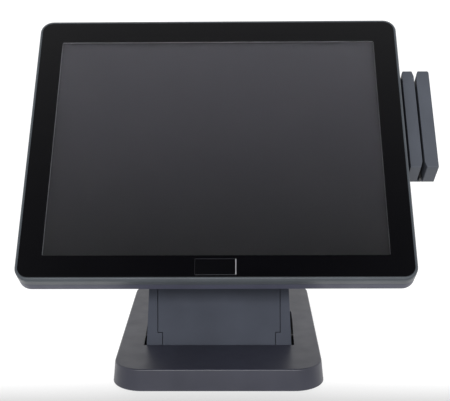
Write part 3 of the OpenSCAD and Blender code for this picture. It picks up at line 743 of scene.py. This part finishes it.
def shafts():
    """Threaded hinge shafts: one through the head's bracket, and two socket-headed stubs in the base."""
    def upper_faces(work):
        low, high = local_box("upper_shaft", HEAD)
        half = (high.x - low.x) / 2
        plain_half, chamfer = 44, 0.8
        rings = [(circle(UPPER_SHAFT_R - chamfer), half), (circle(UPPER_SHAFT_R * 0.95), half - chamfer)]
        rings += thread_rings(UPPER_SHAFT_R, plain_half + 4, half - chamfer)[::-1]
        rings += [(circle(UPPER_SHAFT_R), plain_half)]
        rings += [(radius_at, -height) for radius_at, height in rings[::-1]]
        loft_heights(work, rings, axis_place((low + high) / 2, 0, 1))
    upper = solid_from("upper_shaft_turned", upper_faces, HEAD)
    finish_piece(upper, "steel", "head", ["upper_shaft"])

    def lower_faces(work):
        head_t, plain_end, socket_r, socket_deep = 1.8, 8, 2.2, 1.1
        for low, high in loose_boxes("lower_shafts", WORLD):
            middle = (low + high) / 2
            outward = 1 if middle.x > 0 else -1
            length, head_r = high.x - low.x, (high.z - low.z) / 2
            place = axis_place((high.x if outward > 0 else low.x, middle.y, middle.z), 0, outward)
            socket = hexagon(socket_r, 2.5)
            threads = thread_rings(LOWER_SHAFT_R, 0.5, length - plain_end - 1)
            rings = [(socket, -socket_deep), (socket, 0), (circle(head_r - 0.5), 0), (circle(head_r), -0.4),
                     (circle(head_r), -head_t + 0.2), (circle(head_r - 0.2), -head_t),
                     (circle(LOWER_SHAFT_R), -head_t), (circle(LOWER_SHAFT_R), -plain_end)]
            rings += [(radius_at, -plain_end - height) for radius_at, height in threads]
            rings += [(circle(LOWER_SHAFT_R * 0.9), -length + 0.6), (circle(LOWER_SHAFT_R - 0.8), -length)]
            loft_heights(work, rings, place)
    lower = solid_from("lower_shafts_turned", lower_faces, WORLD)
    finish_piece(lower, "steel", "base", ["lower_shafts"])


shafts()


# ---------- connectors ----------

# Each connector looks down out of the panel. Height 0 is its mouth.
MOUTH_RISE = 2.5       # from the panel face to the mouth of a serial port, in mm
SOCKET_DEPTH = 9
SOCKET_W = 12.4


def skin(work, outlines, place, closed=True):
    """Skin through outlines, each a list of (x, y) with its height, closed on itself or capped."""
    loft(work, [[place @ Vector((x, y, height)) for x, y in outline] for outline, height in outlines], closed)


def shield_outline(w, h, taper=0.06):
    """Outline of a D-shaped connector shell."""
    return [(x * (1 + taper * y / h * 2), y) for x, y in rounded_loop(w, h, 2.2)]


def serial_port(metal, core, gold, place, w, h):
    """Nine pins in a D-shaped shell, between two hexagon posts."""
    shell_w, shell_h, post_x, flange_t, pin_pitch = 17.4, 8.6, 12.4, 0.9, 2.74
    foot = -MOUTH_RISE + 0.01
    box(metal, (-w / 2, -h / 2, -MOUTH_RISE - flange_t), (w / 2, h / 2, -MOUTH_RISE), place)
    steps = [(0, foot), (0, -0.15), (0.3, 0), (0.8, 0), (0.9, -0.2), (0.9, foot)]
    shell = [(shield_outline(shell_w - inset, shell_h - inset), height) for inset, height in steps]
    skin(metal, shell, place)
    for side in (-1, 1):
        rings = [(hexagon(2.3, 2.66), foot), (hexagon(2.3, 2.66), -0.5), (hexagon(2.3, 2.35), -0.2),
                 (circle(1.5), -0.2), (circle(1.2), -0.6), (circle(1.2), -1.8)]
        loft_heights(metal, rings, place @ Matrix.Translation((side * post_x, 0, 0)))
    plug = shield_outline(shell_w - 1.1, shell_h - 1.1)
    skin(core, [(plug, -MOUTH_RISE + 0.02), (plug, -1.5)], place, closed=False)
    for row, count in ((1.3, 5), (-1.3, 4)):
        for i in range(count):
            pin_place = place @ Matrix.Translation(((i - (count - 1) / 2) * pin_pitch, row, 0))
            rings = [(circle(0.5), -1.6), (circle(0.5), -0.7), (circle(0.32), -0.45)]
            loft_heights(gold, rings, pin_place, sides=12)


def socket_walls(work, place, w, h, bars):
    """Metal frame of a socket: side walls, a back, and cross bars given as (low, high) in y."""
    wall = (w - SOCKET_W) / 2
    for side in (-1, 1):
        low_x, high_x = sorted((side * w / 2, side * (w / 2 - wall)))
        box(work, (low_x, -h / 2, -SOCKET_DEPTH), (high_x, h / 2, 0), place)
    for low_y, high_y in bars:
        box(work, (-w / 2 + wall, low_y, -SOCKET_DEPTH), (w / 2 - wall, high_y, 0), place)
    socket_back(work, place, w, h, -SOCKET_DEPTH + 0.01)


def socket_back(work, place, w, h, front):
    """Plate that closes a socket behind its cavity."""
    box(work, (-w / 2 + 0.1, -h / 2 + 0.1, -SOCKET_DEPTH - 1), (w / 2 - 0.1, h / 2 - 0.1, front), place)


def network_port(metal, core, gold, place, w, h):
    """Eight slanted contacts in a square socket with a latch notch."""
    floor_y, roof_y, latch_y, pitch = -4.9, 4.3, 2.6, 1.02
    socket_walls(metal, place, w, h, [(-h / 2, floor_y), (roof_y, h / 2)])
    for low_x, high_x in ((-SOCKET_W / 2, -2.9), (2.9, SOCKET_W / 2)):
        box(core, (low_x, latch_y, -SOCKET_DEPTH), (high_x, roof_y, -0.6), place)
    slant = Matrix.Rotation(math.radians(-16), 4, "X")
    for i in range(8):
        contact = place @ Matrix.Translation(((i - 3.5) * pitch, floor_y + 0.8, -4)) @ slant
        box(gold, (-0.2, 0, -3.4), (0.2, 0.25, 2.6), contact)


def double_port(metal, core, gold, place, w, h):
    """Two flat sockets, one over the other, each with a tongue and four contacts."""
    bar_y, rows, pitch = 5.8, (-3.35, 3.35), 2.4
    socket_walls(metal, place, w, h, [(-h / 2, -bar_y), (-0.9, 0.9), (bar_y, h / 2)])
    for row in rows:
        box(core, (-5.4, row + 0.3, -SOCKET_DEPTH), (5.4, row + 2.1, -0.8), place)
        for i in range(4):
            x = (i - 1.5) * pitch
            box(gold, (x - 0.55, row + 0.12, -6.5), (x + 0.55, row + 0.34, -1.2), place)


def power_port(metal, core, gold, place, w, h):
    """Round socket with a centre pin, in a plain black block."""
    bore = 3.1
    steps = [(w, h, 0.6, -SOCKET_DEPTH), (w, h, 0.6, -0.3), (w - 0.5, h - 0.5, 0.6, 0),
             (2 * bore + 1, 2 * bore + 1, bore + 0.5, 0), (2 * bore, 2 * bore, bore, -0.5),
             (2 * bore, 2 * bore, bore, -SOCKET_DEPTH)]
    skin(core, [(rounded_loop(width, tall, r), height) for width, tall, r, height in steps], place)
    socket_back(core, place, w, h, -SOCKET_DEPTH)
    pin = [(circle(1.0), -SOCKET_DEPTH), (circle(1.0), -1.6), (circle(0.75), -1.1), (circle(0.35), -0.95)]
    loft_heights(gold, pin, place, sides=24)


def connectors():
    """The row of connectors from left to right, as one piece per material."""
    metal, core, gold = bmesh.new(), bmesh.new(), bmesh.new()
    kinds = [serial_port, serial_port, network_port, double_port, double_port, power_port]
    for kind, (low, high) in zip(kinds, loose_boxes("io_ports", HEAD)):
        mouth = ((low.x + high.x) / 2, (low.y + high.y) / 2, low.z)
        place = Matrix.Translation(mouth) @ Matrix.Rotation(math.pi, 4, "X")
        kind(metal, core, gold, place, high.x - low.x, high.y - low.y)
    shells = object_from("connector_shells", metal, HEAD)
    finish_piece(shells, "contact", "head", ["io_ports"])
    finish_piece(object_from("connector_cores", core, HEAD), "core", "head")
    finish_piece(object_from("connector_contacts", gold, HEAD), "gold", "head")


connectors()


# ---------- softened CAD shells ----------

SHELLS = [
    # node, edge radius in mm, material, body, slot
    ("rear_cover", 0.35, "head", "head", "head_shell"),
    ("io_cover", 0.5, "head", "head", "head_shell"),
    ("head_bracket", 0.5, "powder", "head", "dark_steel"),
    ("hinge_shroud", 0.6, "black", "head", "black_plastic"),
    ("reader_mount", 0.4, "powder", "head", "dark_steel"),
    ("reader_inner_bar", 0.7, "reader", "head", "reader_shell"),
    ("reader_outer_bar", 0.7, "reader", "head", "reader_shell"),
    ("reader_spine", 0.2, "black", "head", "black_plastic"),
    ("arm_frame", 0.8, "arm", "arm", "arm_shell"),
    ("arm_front_cover", 0.8, "arm", "arm", "arm_shell"),
    ("arm_rear_cover", 0.45, "arm", "arm", "arm_shell"),
    ("arm_core", 0.3, "powder", "arm", "dark_steel"),
    ("base_housing", 0.4, "base", "base", "base_shell"),
    # pocket_tray: black insert lining the pocket around the arm's foot; its black is partly painted shade
    # standing in for the deep pocket's shadow
    ("pocket_tray", 0.4, "black", "base", "black_plastic"),
    ("base_hinge_brackets", 0.4, "powder", "base", "dark_steel"),
    ("power_button", 0.3, "black", "button", "black_plastic"),
    ("base_pad", 0.25, "rubber", "base", "rubber"),
    ("base_plate", 0.3, "powder", "base", "dark_steel"),
    ("io_panel", 0.15, "zinc", "head", "zinc_steel"),
]

for node, radius, material, body, slot in SHELLS:
    finish_piece(softened_copy(node, radius), material, body, [node])


# ---------- CAD nodes that keep their shape ----------

KEPT = {
    "ballast_front": "iron", "ballast_rear": "iron", "lcd_chassis": "zinc", "board_standoffs": "brass",
    "motherboard": "board", "processor": "chip", "heatsink": "alloy", "memory_module": "board",
    "storage_drive": "alloy", "speaker_left": "black", "speaker_right": "black", "button_switch": "board",
    "reader_board": "board", "read_head": "contact",
}

for node, material in KEPT.items():
    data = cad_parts[node].data
    data.materials.clear()
    data.materials.append(M[material])
